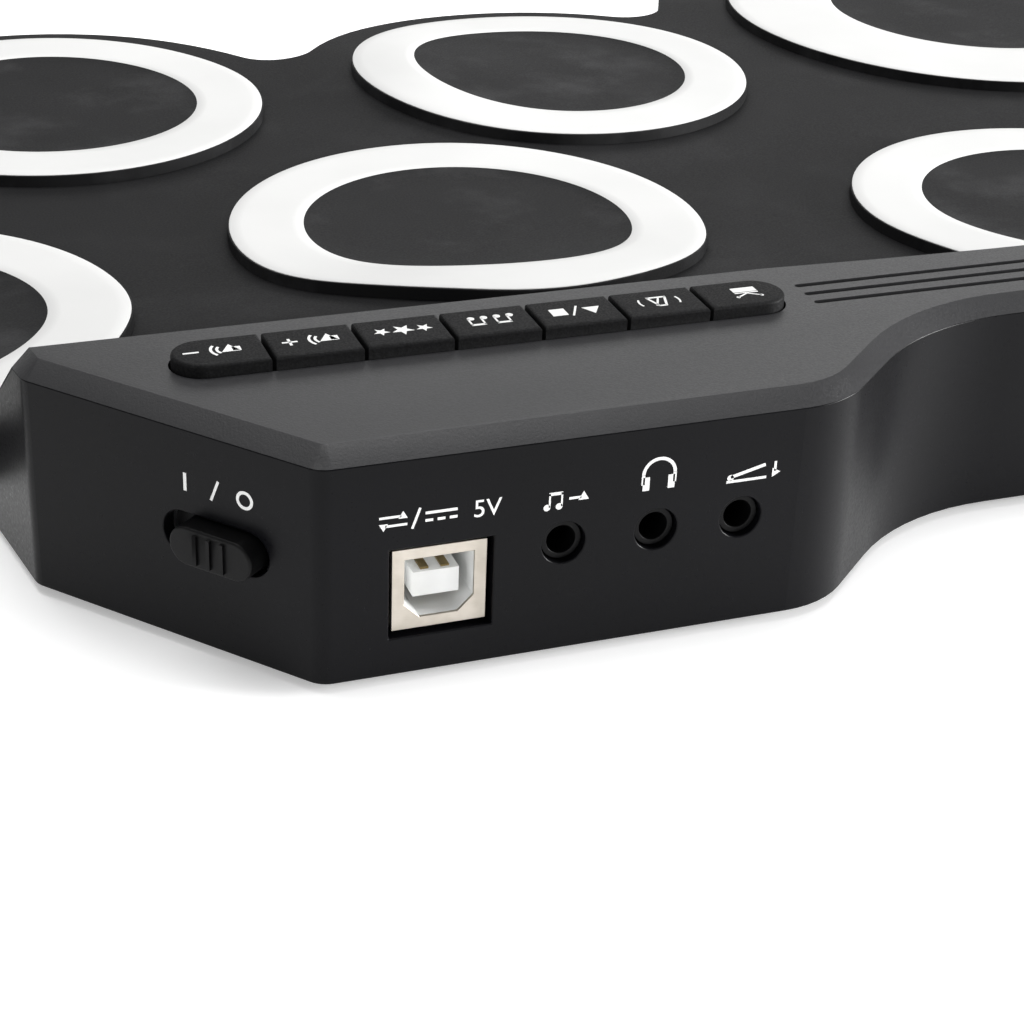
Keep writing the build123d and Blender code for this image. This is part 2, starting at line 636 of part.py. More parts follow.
def switch_knob():
    inner = -WALL - BRACKET + 0.4
    knob = switch_bar(KNOB_LENGTH, KNOB_HEIGHT, inner, KNOB_PROUD, SWITCH_ALONG)
    outward = Vector(*switch_normal())
    front = max(knob.faces(), key=lambda f: f.center().dot(outward))
    knob = fillet(front.edges(), KNOB_ROUND)
    for step in (-1, 0, 1):
        along = SWITCH_ALONG + RIB_PITCH * step
        knob += switch_block(RIB_WIDTH, KNOB_HEIGHT - 1.2, KNOB_PROUD - 0.3, KNOB_PROUD + RIB_PROUD, along)
    return knob + switch_block(*NECK, -WALL - BRACKET - 2.2, inner + 0.2, SWITCH_ALONG)


def switch_rivets():
    back = -WALL - BRACKET
    return Compound(children=[rivet_rod(side, RIVET_R, back, -WALL) + rivet_rod(side, 1.5, back - 1, back)
                              for side in (-1, 1)])


# ---- speakers, cell, feet, screws ------------------------------------------------------------
SPEAKER_TOP = Z_PART - CLOTH
BASKET_DEEP = 3.6
BASKET_WALL = 1.2
MAGNET_THICK = 2.4


def speaker_basket(side):
    length, width = SPEAKER_SIZE
    x = side * SPEAKER_X
    body = obround(length, width, SPEAKER_TOP - BASKET_DEEP, SPEAKER_TOP, x, SPEAKER_DEPTH)
    inside = 2 * BASKET_WALL
    return body - obround(length - inside, width - inside, SPEAKER_TOP - 2.8, SPEAKER_TOP + 1, x, SPEAKER_DEPTH)


def speaker_cone(side):
    length, width = SPEAKER_SIZE
    x = side * SPEAKER_X
    cone = obround(length - 2.5, width - 2.5, SPEAKER_TOP - 1.2, SPEAKER_TOP - 0.7, x, SPEAKER_DEPTH)
    return cone + obround(length - 22, width - 6, SPEAKER_TOP - 2.7, SPEAKER_TOP - 1.0, x, SPEAKER_DEPTH)


def speaker_magnet(side):
    length, width = SPEAKER_SIZE
    top = SPEAKER_TOP - BASKET_DEEP
    return obround(length - 14, width - 3, top - MAGNET_THICK, top, side * SPEAKER_X, SPEAKER_DEPTH)


def speaker_cloth():
    return block(-SLOT_HALF - 1.0, SLOT_HALF + 1.0, SPEAKER_DEPTH - 5.8, SPEAKER_DEPTH + 4.0, SPEAKER_TOP, Z_PART)


def battery_cell():
    length, width, thick = CELL
    z = Z_BASE + FLOOR
    cell = block(CELL_X - length / 2, CELL_X + length / 2, CELL_DEPTH - width / 2, CELL_DEPTH + width / 2,
                 z, z + thick)
    return fillet(cell.edges().filter_by(Axis.X), 1.5)


def case_screws():
    return Compound(children=[screw(x, d, Z_BASE + 0.2, screw_tip(d) - 0.3, SCREW_R - 0.02, SCREW_HEAD_R, SCREW_HEAD)
                              for x, d in CASE_SCREWS])


def feet():
    pads = [rod(x, d, 0, FOOT_HEIGHT, FOOT_R) for x, d in FEET]
    return Compound(children=[fillet(p.edges().group_by(Axis.Z)[0], 0.3) for p in pads])


# ---- mat ---------------------------------------------------------------------------------------
Z_FILM = SKIN_BOTTOM
NOTCH_ROUND = 9.0


def margin(radius):
    return PAD_MARGIN if radius == RING_OUTER else BIG_PAD_MARGIN


def mat_outline(inset_by, rear_depth, rear_half):
    """The union of a circle round each pad, a band along the rear and what they enclose."""
    circles = [Pos(at(x, d)) * Circle(r + margin(r) - inset_by) for _, x, d, r in PADS]
    by_name = {name: at(x, d) for name, x, d, _ in PADS}
    ring = [by_name[n] for n in ("crash", "snare", "tom_low", "hihat", "ride")]
    middle = make_face(Polyline(*ring, close=True))
    front_depth = PADS[0][2] + 10
    band = Pos(at(0, (rear_depth + front_depth) / 2)) * Rectangle(2 * rear_half, front_depth - rear_depth)
    outline = circles[0]
    for piece in circles[1:] + [middle, band]:
        outline += piece
    for side in (1, -1):    # beside the mat's rear strip it stops in front of the shell's toe
        beside = (SHELL_TOE + 1.0) / 2
        outline -= Pos(at(side * (rear_half + REACH / 2), beside)) * Rectangle(REACH, 2 * beside)
    notches = [v for v in outline.vertices() if is_notch(v, circles) and Y_REAR - v.Y > TOE_DEPTH + 20]
    return upward(fillet(notches, NOTCH_ROUND)) if notches else upward(outline)


def is_notch(vertex, circles):
    """True where two of the circles cross on the outline."""
    touching = [c for c in circles if abs((Vector(vertex) - c.center()).length - c.edges()[0].radius) < 0.01]
    return len(touching) > 1


def mat_bottom_skin():
    """The underside stops at the toe, where the clamp takes its place."""
    skin = slab(mat_outline(0, TOE_DEPTH + 1.0, TAB_HALF - 6), 0, SKIN_BOTTOM)
    return skin - block(-TAB_HALF - 1, TAB_HALF + 1, 0, TOE_DEPTH, -1, SKIN_BOTTOM + 1)


def film(level, tail=False):
    sheet = mat_outline(FILM_INSET, TOE_DEPTH + 6.0, TAB_HALF - 10)
    z = Z_FILM + level * FILM
    body = slab(sheet, z, z + FILM)
    if tail:
        half = TAIL_WIDTH / 2 - 1
        body += block(TAIL_X - half, TAIL_X + half, TAIL_DEPTH - TAIL_THICK / 2, TOE_DEPTH + 8, z, z + FILM)
    return body


def sensor_film_spacer():
    body = film(1)
    for _, x, d, r in PADS:
        body -= rod(x, d, 0, 5, r * SENSOR_SHARE)
    return body


def sensor_patches():
    z = Z_FILM + FILM
    return Compound(children=[rod(x, d, z, z + SENSOR_THICK, r * SENSOR_SHARE - 1) for _, x, d, r in PADS])


def mat_top_skin():
    skin = slab(mat_outline(0, TAB_DEPTH, TAB_HALF), Z_FILM + 3 * FILM, Z_MAT)
    for x, d in CLAMP_SCREWS:
        skin -= rod(x, d, 0, 5, CLAMP_SCREW_R + 0.4)
    return skin


def mat_clamp():
    z = Z_FILM + 3 * FILM
    bar = block(-TAB_HALF + 4, TAB_HALF - 4, TAB_DEPTH + 1, TOE_DEPTH - 1, z - CLAMP_THICK, z)
    half = TAIL_WIDTH / 2
    bar -= block(TAIL_X - half, TAIL_X + half, 0, 80, Z_FILM - 0.1, z + 1)
    for x, d in CLAMP_SCREWS:
        bar -= rod(x, d, 0, 5, CLAMP_SCREW_R + 0.3)
    return bar


def clamp_screws():
    z = Z_FILM + 3 * FILM - CLAMP_THICK
    return Compound(children=[rod(x, d, z, RECESS_TOP + CLAMP_SCREW_BITE - 0.2, CLAMP_SCREW_R - 0.02)
                              + rod(x, d, 0.02, z, 2.0) for x, d in CLAMP_SCREWS])


def ring_inner(radius):
    return radius * (RING_SHARE if radius == RING_OUTER else BIG_RING_SHARE)


def pad_disc(x, depth, radius):
    """A raised disc with a groove that holds the white ring."""
    disc = rod(x, depth, Z_MAT, Z_PAD, radius + PAD_RIM)
    disc = fillet(disc.edges().group_by(Axis.Z)[-1], PAD_ROUND)
    groove = rod(x, depth, Z_PAD - RING_THICK, Z_PAD + 1, radius) - rod(x, depth, 0, 40, ring_inner(radius))
    return disc - groove


def pad_ring(x, depth, radius):
    return rod(x, depth, Z_PAD - RING_THICK, Z_PAD, radius) - rod(x, depth, 0, 40, ring_inner(radius))


# ---- write every piece --------------------------------------------------------------------------
save(lower_shell(), "lower_shell")
save(lid(), "upper_lid")
for number, name in enumerate(KEY_NAMES):
    save(key(number), f"key_{name}")
save(key_contact_sheet(), "key_contact_sheet")
save(key_board(), "key_board")
save(main_board(), "main_board")
save(board_components(), "board_components")
save(tail_connector(), "tail_connector")
save(sensor_tail(), "sensor_tail")
save(board_screws(MAIN_SCREWS, BOARD_UNDER), "main_board_screws")
save(board_screws(KEY_SCREWS, KEY_BOARD_TOP - BOARD), "key_board_screws")
save(socket_shell(), "socket_shell")
save(socket_insert(), "socket_insert")
save(socket_contacts(), "socket_contacts")
for name, x in JACKS:
    save(jack(x), f"jack_{name}")
save(switch_bracket(), "switch_bracket")
save(switch_body(), "switch_body")
save(switch_knob(), "switch_knob")
save(switch_rivets(), "switch_rivets")
for name, side in (("left", -1), ("right", 1)):
    save(speaker_basket(side), f"speaker_basket_{name}")
    save(speaker_cone(side), f"speaker_cone_{name}")
    save(speaker_magnet(side), f"speaker_magnet_{name}")
save(speaker_cloth(), "speaker_cloth")
save(battery_cell(), "battery_cell")
save(case_screws(), "case_screws")
save(feet(), "rubber_feet")
save(mat_bottom_skin(), "mat_bottom_skin")
save(film(0, tail=True), "sensor_film_lower")
save(sensor_film_spacer(), "sensor_film_spacer")
save(sensor_patches(), "sensor_patches")
save(film(2), "sensor_film_upper")
save(mat_top_skin(), "mat_top_skin")
save(mat_clamp(), "mat_clamp")
save(clamp_screws(), "mat_clamp_screws")
for name, x, depth, radius in PADS:
    save(pad_disc(x, depth, radius), f"pad_{name}")
    save(pad_ring(x, depth, radius), f"pad_ring_{name}")
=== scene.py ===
# %% [markdown]
# # A roll-up electronic drum pad
# The object is a soft silicone mat with seven raised striking pads, clamped to a hard plastic
# console with rubber keys, speakers, sockets and a slide switch. The hard parts arrive as a
# finished model. This lesson softens their edges so that they catch the light, models the soft
# mat with the waves that a rolled sheet keeps, prints the symbols, and makes every material.
# Lengths are metres in the model's own frame: +X is the player's right, +Y the rear, +Z up.

# %% Load the model
import json
import math

import bmesh
import bpy
from mathutils import Matrix, Vector


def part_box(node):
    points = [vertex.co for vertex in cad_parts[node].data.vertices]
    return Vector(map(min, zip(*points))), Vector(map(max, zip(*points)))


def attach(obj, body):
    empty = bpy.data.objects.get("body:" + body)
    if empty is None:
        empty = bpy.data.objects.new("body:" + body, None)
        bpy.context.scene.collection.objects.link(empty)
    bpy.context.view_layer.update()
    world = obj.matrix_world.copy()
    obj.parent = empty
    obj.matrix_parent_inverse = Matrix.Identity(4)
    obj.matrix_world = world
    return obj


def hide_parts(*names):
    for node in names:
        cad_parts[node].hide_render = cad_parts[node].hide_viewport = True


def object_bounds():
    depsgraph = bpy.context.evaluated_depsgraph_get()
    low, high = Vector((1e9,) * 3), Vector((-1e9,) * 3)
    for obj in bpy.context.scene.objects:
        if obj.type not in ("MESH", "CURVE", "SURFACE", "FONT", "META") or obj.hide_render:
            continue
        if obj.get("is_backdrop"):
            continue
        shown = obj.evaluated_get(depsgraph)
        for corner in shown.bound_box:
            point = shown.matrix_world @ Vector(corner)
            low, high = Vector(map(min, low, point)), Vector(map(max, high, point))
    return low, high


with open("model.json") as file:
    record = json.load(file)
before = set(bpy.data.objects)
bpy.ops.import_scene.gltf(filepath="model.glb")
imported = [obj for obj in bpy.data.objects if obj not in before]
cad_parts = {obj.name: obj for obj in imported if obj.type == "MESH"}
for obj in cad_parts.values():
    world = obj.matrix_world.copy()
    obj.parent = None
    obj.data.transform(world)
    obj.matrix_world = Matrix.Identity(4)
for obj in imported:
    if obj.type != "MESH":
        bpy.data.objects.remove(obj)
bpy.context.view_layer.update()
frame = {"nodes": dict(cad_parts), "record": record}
nodes = frame["nodes"]
CONSOLE = "console_and_mat"
MM = 0.001
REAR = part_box("lower_shell")[1].y        # the rear wall with the sockets

# %% [markdown]
# ## Colours and shader nodes
# A colour is written as an sRGB hex value, as a paint chart gives it, and one function turns it
# into the linear value that a renderer works in. A second function adds a shader node with its
# settings and links, so each material below reads as a short list of steps. Patterns read Object
# coordinates, which are metres here, so a pattern's scale is one over the size of its feature.


# %% Material helpers
def colour(hex_code):
    """Linear RGBA from an sRGB hex code."""
    values = [int(hex_code[i:i + 2], 16) / 255 for i in (1, 3, 5)]
    return [v / 12.92 if v <= 0.04045 else ((v + 0.055) / 1.055) ** 2.4 for v in values] + [1.0]


def add(tree, kind, settings=None, **inputs):
    """A node, its attributes from settings, and its inputs from numbers or other nodes' outputs."""
    node = tree.nodes.new(kind)
    for name, value in (settings or {}).items():
        setattr(node, name, value)
    for name, value in inputs.items():
        socket = node.inputs[int(name[1:])] if name[1:].isdigit() else node.inputs[name.replace("_", " ")]
        if isinstance(value, bpy.types.NodeSocket):
            tree.links.new(value, socket)
        else:
            socket.default_value = value
    return node


def new_material(name, **settings):
    """A material's tree, its Principled shader and its Object coordinates."""
    material = bpy.data.materials.new(name)
    material.use_nodes = True
    shader = material.node_tree.nodes["Principled BSDF"]
    for key, value in settings.items():
        shader.inputs[key.replace("_", " ")].default_value = value
    place = add(material.node_tree, "ShaderNodeTexCoord").outputs["Object"]
    return material, material.node_tree, shader, place


def cloud(tree, place, size_mm, detail=2.0, roughness=0.5):
    """Noise with features of about this size."""
    return add(tree, "ShaderNodeTexNoise", Vector=place, Scale=1.0 / (size_mm * MM), Detail=detail,
               Roughness=roughness).outputs["Fac"]


def blend_colours(tree, factor, low, high, start=0.3, end=0.7):
    """A colour between two, as factor runs from start to end."""
    node = add(tree, "ShaderNodeValToRGB", Fac=factor)
    first, last = node.color_ramp.elements
    first.position, first.color = start, low
    last.position, last.color = end, high
    return node.outputs["Color"]


def between(tree, factor, low, high, start=0.3, end=0.7):
    """A number between two, as factor runs from start to end."""
    return add(tree, "ShaderNodeMapRange", Value=factor, From_Min=start, From_Max=end, To_Min=low,
               To_Max=high).outputs["Result"]


def raise_surface(tree, shader, height, depth_mm, under=None):
    """Bump from a height pattern, on top of an earlier bump where one is given."""
    links = {"Height": height, "Distance": depth_mm * MM}
    if under is not None:
        links["Normal"] = under
    normal = add(tree, "ShaderNodeBump", **links).outputs["Normal"]
    tree.links.new(normal, shader.inputs["Normal"])
    return normal


def moulded(name, dark, light, rough, grain_mm, grain_deep_mm, mottle_mm=15.0, **settings):
    """Moulded plastic or rubber: a slow change of shade, and the mould's grain in gloss and relief."""
    material, tree, shader, place = new_material(name, **settings)
    mottle = cloud(tree, place, mottle_mm, 3.0)
    tree.links.new(blend_colours(tree, mottle, colour(dark), colour(light)), shader.inputs["Base Color"])
    grain = cloud(tree, place, grain_mm, 2.0, 0.6)
    tree.links.new(between(tree, grain, rough - 0.05, rough + 0.07), shader.inputs["Roughness"])
    raise_surface(tree, shader, grain, grain_deep_mm)
    return material


# %% [markdown]
# ## Hard plastics
# The lid is ABS from a spark-eroded mould. The mould's wall is pitted, so the plastic has an even
# grain that scatters the light and sparkles a little. The shell below is the same plastic from a
# nearly smooth mould and shows soft highlights. Its colour is painted darker than the lid's, as
# painted shade on its upright walls. Both are darker than any paint, because carbon black is mixed
# through them. The real grain is about 0.1 mm, and it is drawn at 0.3 mm here so that it still shows.

# %% Hard plastics
lid_abs = moulded("textured_abs", "#1c1c1e", "#202022", 0.42, 0.30, 0.022)
# The shell's colour is far darker than the lid's. This is painted shade for the upright walls, on the same
# black plastic.
shaded_shell_abs = moulded("satin_abs", "#08080a", "#0b0b0e", 0.32, 0.45, 0.003, 30.0, Specular_IOR_Level=0.11)
black_abs = moulded("matt_black_abs", "#060607", "#09090a", 0.45, 0.25, 0.010, Specular_IOR_Level=0.14)
white_pbt = moulded("white_pbt", "#ecedec", "#f2f3f2", 0.35, 0.30, 0.003)
chip_epoxy = moulded("moulded_epoxy", "#1b1b1d", "#232325", 0.60, 0.12, 0.006)
beige_nylon = moulded("beige_nylon", "#cfc7b4", "#d8d1c0", 0.50, 0.30, 0.005)
print("hard plastics", [m.name for m in (lid_abs, shaded_shell_abs, black_abs, white_pbt)])

# %% [markdown]
# ## Rubber and silicone
# The keys are cast silicone with a fine speckled skin. The mat is a thick silicone sheet, matt and
# deep black. It holds on to dust, which shows as faint lighter clouds on the pads where hands and
# sticks land, so the pads' centres get a second, paler cloud over the first.


# %% Rubbers
def dusty_silicone(name, dark, light, dust, dust_amount, **settings):
    """Silicone with broad clouds of dust over a slow change of shade."""
    material, tree, shader, place = new_material(name, Roughness=0.62, IOR=1.41, **settings)
    base = blend_colours(tree, cloud(tree, place, 24.0, 3.0), colour(dark), colour(light))
    patches = between(tree, cloud(tree, place, 17.0, 5.0, 0.62), 0.0, dust_amount, 0.5, 0.72)
    mixed = add(tree, "ShaderNodeMix", {"data_type": "RGBA"}, _0=patches, _6=base, _7=colour(dust))
    tree.links.new(mixed.outputs[2], shader.inputs["Base Color"])
    grain = cloud(tree, place, 0.35, 2.0, 0.6)
    tree.links.new(between(tree, grain, 0.56, 0.7), shader.inputs["Roughness"])
    raise_surface(tree, shader, grain, 0.012)
    return material


def speckled_rubber(name, dark, light):
    """Cast silicone whose skin carries fine raised speckles, about 0.3 mm apart."""
    material, tree, shader, place = new_material(name, Roughness=0.58, IOR=1.41, Specular_IOR_Level=0.16)
    grain = cloud(tree, place, 0.28, 3.0, 0.7)
    shades = blend_colours(tree, grain, colour(dark), colour(light), 0.4, 0.72)
    tree.links.new(shades, shader.inputs["Base Color"])
    tree.links.new(between(tree, grain, 0.66, 0.48, 0.4, 0.72), shader.inputs["Roughness"])
    raise_surface(tree, shader, grain, 0.035)
    return material


key_rubber = speckled_rubber("key_silicone", "#0c0c0d", "#1d1d1e")
foot_rubber = speckled_rubber("foot_rubber", "#101010", "#1a1a1a")
contact_rubber = moulded("conductive_rubber", "#5c5c5e", "#68686a", 0.7, 0.3, 0.010)
mat_silicone = dusty_silicone("mat_silicone", "#151516", "#19191a", "#2b2b2c", 0.35, Specular_IOR_Level=0.16)
pad_silicone = dusty_silicone("pad_silicone", "#171718", "#1c1c1d", "#39393a", 0.55, Specular_IOR_Level=0.16)
ring_silicone = moulded("white_silicone", "#cfcfce", "#d5d5d4", 0.6, 0.3, 0.006, 30.0, Specular_IOR_Level=0.3)
print("rubbers", [m.name for m in (key_rubber, mat_silicone, pad_silicone, ring_silicone)])

# %% [markdown]
# ## Metals
# The socket's shell is sheet steel with a warm nickel plating. It was rolled before it was
# pressed, so its gloss runs in fine lines. Screws and the bracket are zinc plated, and the
# contacts are gold plated bronze.


# %% Metals
def plated(name, base, shade, rough, line_mm, stretch):
    """Plated sheet metal with rolling lines that run along X, stretched this many times."""
    material, tree, shader, place = new_material(name, Metallic=1.0)
    along = add(tree, "ShaderNodeMapping", Vector=place, Scale=(1.0 / stretch, 1.0, 1.0)).outputs["Vector"]
    lines = cloud(tree, along, line_mm, 3.0, 0.6)
    tree.links.new(blend_colours(tree, cloud(tree, place, 3.0), colour(shade), colour(base)),
                   shader.inputs["Base Color"])
    tree.links.new(between(tree, lines, rough - 0.07, rough + 0.09), shader.inputs["Roughness"])
    raise_surface(tree, shader, lines, 0.002)
    return material


nickel = plated("nickel_plated_steel", "#cbc4ba", "#b8b1a6", 0.45, 0.12, 8.0)
zinc = plated("zinc_plated_steel", "#b4b6b8", "#9b9da0", 0.35, 0.15, 3.0)
gold = plated("gold_plated_bronze", "#a89468", "#8a7850", 0.36, 0.12, 4.0)
ferrite = plated("nickel_plated_ferrite", "#a0a2a5", "#86888b", 0.35, 0.3, 1.0)
foil = plated("pouch_foil", "#c6c8ca", "#adafb2", 0.38, 0.9, 1.0)
print("metals", [m.name for m in (nickel, zinc, gold)])

# %% [markdown]
# ## Boards, films, cloth and ink
# A board is glass fibre under a green solder mask, with copper tracks that show through as paler
# lines. Films are clear polyester with printed carbon patches. The cloth behind the speaker slots
# is a plain black weave, and the symbols are a thin white pad print.


# %% Boards, films, cloth and ink
def solder_masked(name):
    material, tree, shader, place = new_material(name, Roughness=0.35, Coat_Weight=0.3)
    cells = add(tree, "ShaderNodeTexVoronoi", {"feature": "DISTANCE_TO_EDGE"}, Vector=place,
                Scale=1.0 / (2.4 * MM)).outputs["Distance"]
    tracks = add(tree, "ShaderNodeMath", {"operation": "LESS_THAN"}, _0=cells, _1=0.06).outputs["Value"]
    tree.links.new(blend_colours(tree, tracks, colour("#0b4a24"), colour("#17693a"), 0.0, 1.0),
                   shader.inputs["Base Color"])
    raise_surface(tree, shader, tracks, 0.03)
    return material


def woven(name, dark, light, thread_mm):
    """A plain weave: two sets of threads at right angles."""
    material, tree, shader, place = new_material(name, Roughness=0.9)
    threads = [add(tree, "ShaderNodeTexWave", {"wave_type": "BANDS", "bands_direction": axis}, Vector=place,
                   Scale=1.0 / (thread_mm * MM) / 20.0).outputs["Fac"] for axis in ("X", "Y")]
    crossing = add(tree, "ShaderNodeMath", {"operation": "MULTIPLY"}, _0=threads[0], _1=threads[1])
    over = crossing.outputs["Value"]
    shades = blend_colours(tree, over, colour(dark), colour(light), 0.0, 1.0)
    tree.links.new(shades, shader.inputs["Base Color"])
    raise_surface(tree, shader, over, 0.08)
    return material


circuit = solder_masked("solder_masked_board")
cloth = woven("speaker_cloth", "#0a0a0a", "#1c1c1d", 0.5)
polyester = moulded("polyester_film", "#c9c9c2", "#d2d2cc", 0.22, 1.0, 0.002)
carbon = moulded("carbon_ink", "#1c1c1d", "#242425", 0.70, 0.20, 0.010)
paper = moulded("pressed_paper", "#26262a", "#303034", 0.85, 0.50, 0.030)
ink = moulded("white_print", "#dcdcdb", "#e6e6e5", 0.55, 0.30, 0.001)

FINISHES = {
    "lid_plastic": lid_abs, "shell_plastic": shaded_shell_abs, "key_rubber": key_rubber,
    "contact_rubber": contact_rubber, "circuit_board": circuit, "chip_plastic": chip_epoxy,
    "connector_plastic": beige_nylon, "film": polyester, "carbon_ink": carbon, "steel": zinc,
    "nickel": nickel, "white_plastic": white_pbt, "gold_contact": gold, "black_plastic": black_abs,
    "speaker_plastic": black_abs, "cone_paper": paper, "magnet": ferrite, "cloth": cloth,
    "cell_foil": foil, "foot_rubber": foot_rubber, "mat_silicone": mat_silicone,
    "pad_silicone": pad_silicone, "ring_silicone": ring_silicone,
}
slot_of = {part["node"]: part["material_slot"] for part in frame["record"]["subparts"]}
body_of = {node: body for body, members in frame["record"]["behaviour"]["bodies"].items() for node in members}
for name, piece in nodes.items():
    piece.data.materials.clear()
    piece.data.materials.append(FINISHES[slot_of[name]])
print("finished", len(nodes), "nodes with", len(set(slot_of.values())), "finishes")

# %% [markdown]
# ## Softened edges
# No moulded edge is perfectly sharp, and a thin bright line along each edge tells the eye where
# one face turns into the next. The model's meshes are loose triangles, so a copy is merged, its
# flat areas are joined into single faces, and a Bevel modifier rounds what is still sharp. On the
# lid it rounds only the outer creases, because its key hole and slots are small and close together.
# The copy then stands for the model's node.


# %% Softened edges
FLAT = math.radians(0.5)
SHARP = math.radians(32)


def merged_copy(node):
    """The node's mesh with its doubles merged and its flat areas joined."""
    shape = bmesh.new()
    shape.from_mesh(nodes[node].data)
    bmesh.ops.remove_doubles(shape, verts=shape.verts, dist=0.002 * MM)
    bmesh.ops.dissolve_limit(shape, angle_limit=FLAT, verts=shape.verts, edges=shape.edges)
    return shape


def make_piece(name, shape, material, body=CONSOLE, stands_for=(), smooth=True):
    """An object at the origin from a bmesh, riding on a body."""
    for face in shape.faces:
        face.smooth = smooth
    mesh = bpy.data.meshes.new(name)
    shape.to_mesh(mesh)
    shape.free()
    if smooth:
        mesh.set_sharp_from_angle(angle=SHARP)
    mesh.materials.append(material)
    piece = bpy.data.objects.new(name, mesh)
    bpy.context.scene.collection.objects.link(piece)
    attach(piece, body)
    if stands_for:
        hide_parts(*stands_for)
    return piece


def crease_weights(shape):
    """Marks the lid's outer creases: flat top to slope in full, and slope to upright wall by half."""
    weight = shape.edges.layers.float.new("bevel_weight_edge")
    for edge in shape.edges:
        if len(edge.link_faces) == 2:
            steep, flat = sorted(face.normal.z for face in edge.link_faces)
            if flat > 0.99 and 0.2 < steep < 0.95:
                edge[weight] = 1.0
            elif 0.2 < flat < 0.95 and abs(steep) < 0.1:
                edge[weight] = 0.5


def soften(node, radius_mm, weights=None):
    """A copy of a node with its sharp edges, or the ones that weights marks, rounded to this radius."""
    shape = merged_copy(node)
    if weights:
        weights(shape)
    piece = make_piece(node + "_soft_edged", shape, FINISHES[slot_of[node]], body_of[node], [node])
    if radius_mm:
        edge = piece.modifiers.new("edge", "BEVEL")
        edge.width = radius_mm * MM
        edge.segments = 3 if weights else 2
        edge.limit_method = "WEIGHT" if weights else "ANGLE"
        edge.angle_limit = SHARP
        edge.use_clamp_overlap = weights is not None
        edge.loop_slide = False
        edge.harden_normals = True
    return piece


EDGES_MM = {"lower_shell": 0.22, "switch_knob": 0.0, "socket_shell": 0.08,
            "socket_insert": 0.0, "jack_audio_in": 0.12, "jack_headphone": 0.12, "jack_pedal": 0.12,
            "rubber_feet": 0.0}
softened = {node: soften(node, radius) for node, radius in EDGES_MM.items()}
softened["upper_lid"] = soften("upper_lid", 0.5, crease_weights)
for node in nodes:
    if node.startswith("key_") and slot_of[node] == "key_rubber":
        softened[node] = soften(node, 0.0)
print("softened", len(softened))

# %% [markdown]
# ## The mat's waves
# The mat is kept rolled up, so it never lies quite flat. It rises where it leaves the clamp under
# the console and has a few low swells farther out. One function gives the lift at any place. All
# the mat's layers and the pads on it use that same function, so they stay together.


# %% The mat's lift
CLAMP_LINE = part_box("upper_lid")[0].y      # the console's toe, where the mat is held down


def swell(x, y, middle_x, middle_y, reach_x, reach_y, height):
    """A smooth mound, heights and places in millimetres."""
    return height * math.exp(-((x - middle_x) / reach_x) ** 2 - ((y - middle_y) / reach_y) ** 2)


def lift(x, y):
    """How far the mat is lifted off the table at a place, all in metres."""
    x, y = x / MM, y / MM
    toe = CLAMP_LINE / MM
    ahead = max(0.0, min(1.0, (toe - y) / 26.0))
    held = ahead * ahead * (3.0 - 2.0 * ahead)
    ridge = (1.0 + 3.8 * math.exp(-((x - 72.0) / 48.0) ** 2)) * math.exp(-((y - toe + 25.0) / 20.0) ** 2)
    waves = (swell(x, y, 80.0, -25.0, 26.0, 20.0, 0.3) + swell(x, y, 45.0, -66.0, 22.0, 30.0, 2.2)
             + swell(x, y, 125.0, -100.0, 45.0, 26.0, 1.4) + swell(x, y, 18.0, -52.0, 42.0, 40.0, 0.7)
             + swell(x, y, 50.0, -52.0, 24.0, 22.0, 0.8)
             + swell(x, y, -110.0, 0.0, 30.0, 40.0, 0.8) + swell(x, y, -60.0, -90.0, 50.0, 50.0, 1.2)
             + swell(x, y, -180.0, -40.0, 40.0, 50.0, 1.4))
    return held * (ridge + waves) * MM


highest = max(lift(x * 0.01, y * 0.01) for x in range(-22, 23) for y in range(-15, 9))
print("highest lift in mm", round(highest / MM, 1))

# %% [markdown]
# ## The mat's layers
# Two silicone skins hold three thin printed films between them. Each layer already has its
# outline in the model, so a merged copy of it is sliced into a fine grid by planes, which gives
# it enough points to bend, and then every point is lifted. That keeps the outline exact, which a
# remesh would not.

# %% The mat's layers
GRID = 5.0 * MM


def sliced(shape, step):
    """Cuts a shape by planes a step apart, across X and across Y."""
    for axis in (0, 1):
        values = [v.co[axis] for v in shape.verts]
        place = math.ceil(min(values) / step) * step
        while place < max(values):
            point, normal = [0.0, 0.0, 0.0], [0.0, 0.0, 0.0]
            point[axis], normal[axis] = place, 1.0
            bmesh.ops.bisect_plane(shape, geom=shape.verts[:] + shape.edges[:] + shape.faces[:], dist=1e-7,
                                   plane_co=point, plane_no=normal)
            place += step


def laid(node, step=GRID):
    shape = merged_copy(node)
    sliced(shape, step)
    for vert in shape.verts:
        vert.co.z += lift(vert.co.x, vert.co.y)
    bmesh.ops.triangulate(shape, faces=[f for f in shape.faces if len(f.verts) > 4])
    return make_piece(node + "_laid", shape, FINISHES[slot_of[node]], CONSOLE, [node])


LAYERS = ["mat_bottom_skin", "sensor_film_lower", "sensor_film_spacer", "sensor_film_upper", "sensor_patches",
          "mat_top_skin"]
layers = {node: laid(node) for node in LAYERS}
print("faces of the top skin", len(layers["mat_top_skin"].data.polygons))

# %% [markdown]
# ## Pads and rings
# Each pad is a thick disc moulded on the mat, with a white silicone ring set into its top. Both
# are turned shapes, so each starts as a profile of a few points and is spun a full turn. The
# profile has extra points along its flat parts, because the disc has to follow the mat's waves.

# %% Pads and rings
TURN_STEPS = 128
RING_DEEP = 0.6 * MM
RING_ROUND = 0.18 * MM
RING_HOLE_ROUND = (0.1 * MM, 0.06 * MM)      # rounding at the ring's hole, across and down
PAD_DISH = 0.5 * MM          # the middle of a pad is a little lower than its ring
RIM_ROUND = 0.08 * MM
DISH_EDGE = (0.12 * MM, 0.1 * MM)            # how far in and down the dish starts from the ring
DISH_HALFWAY = (3.0 * MM, 0.35 * MM)
DISH_FLAT = 6.0 * MM                         # how far inside the ring the dish is level


